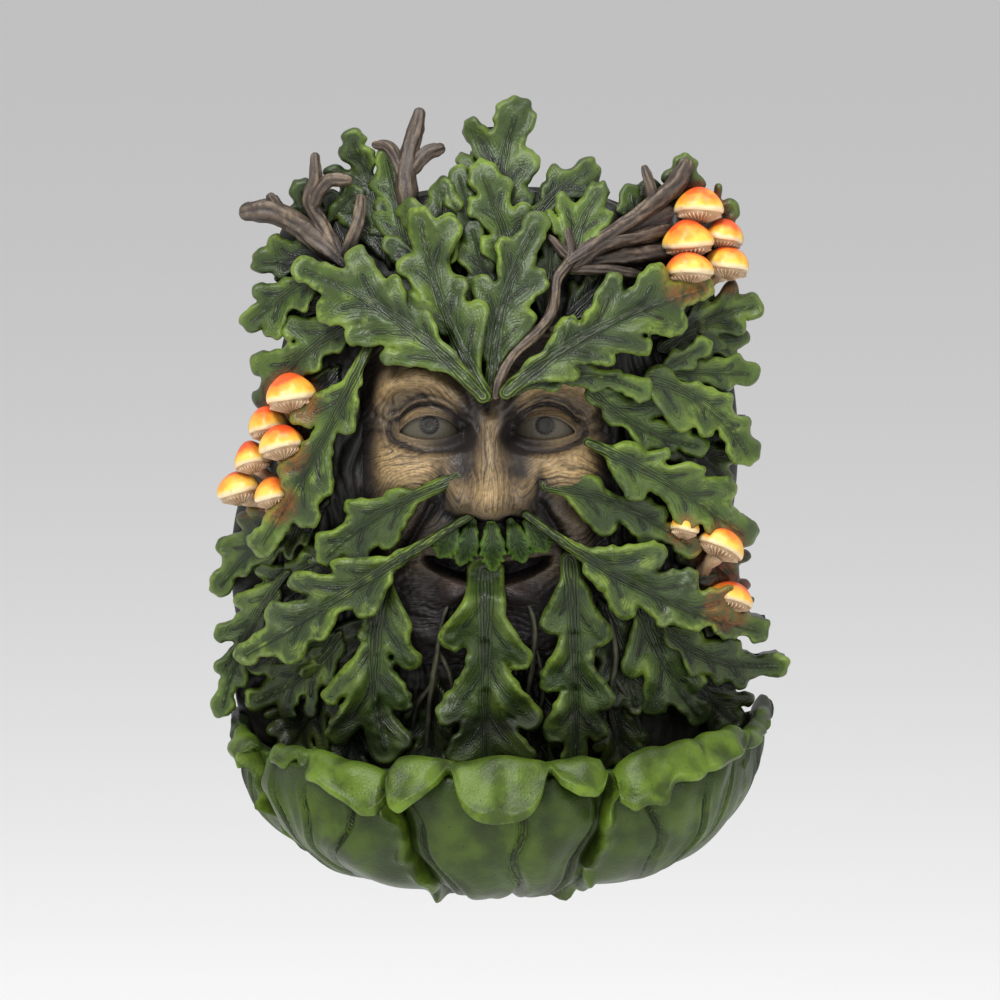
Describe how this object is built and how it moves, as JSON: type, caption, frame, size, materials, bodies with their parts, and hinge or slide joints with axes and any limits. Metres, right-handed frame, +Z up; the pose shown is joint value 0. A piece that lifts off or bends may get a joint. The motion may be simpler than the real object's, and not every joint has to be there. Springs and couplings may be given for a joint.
{
  "type": "green man wall mask",
  "caption": "Wall-hung leafy face relief in painted cast resin, with twigs, mushrooms and a hollow leaf bowl under the beard for bird food or water.",
  "frame": {"origin": "middle of the flat back, on the wall face", "axes": "+Y out of the flat back into the wall, +Z up, the face looks along -Y"},
  "size_m": [0.2011, 0.121, 0.2812],
  "materials": {
    "leaf_paint": "hand-painted green over a dark wash, satin",
    "bark_paint": "hand-painted tan bark over a dark wash, satin",
    "twig_paint": "hand-painted grey-brown, satin",
    "mushroom_paint": "hand-painted orange and yellow, satin"
  },
  "bodies": {
    "root": {"green_man_mask": "leaf_paint"}
  },
  "joints": []
}
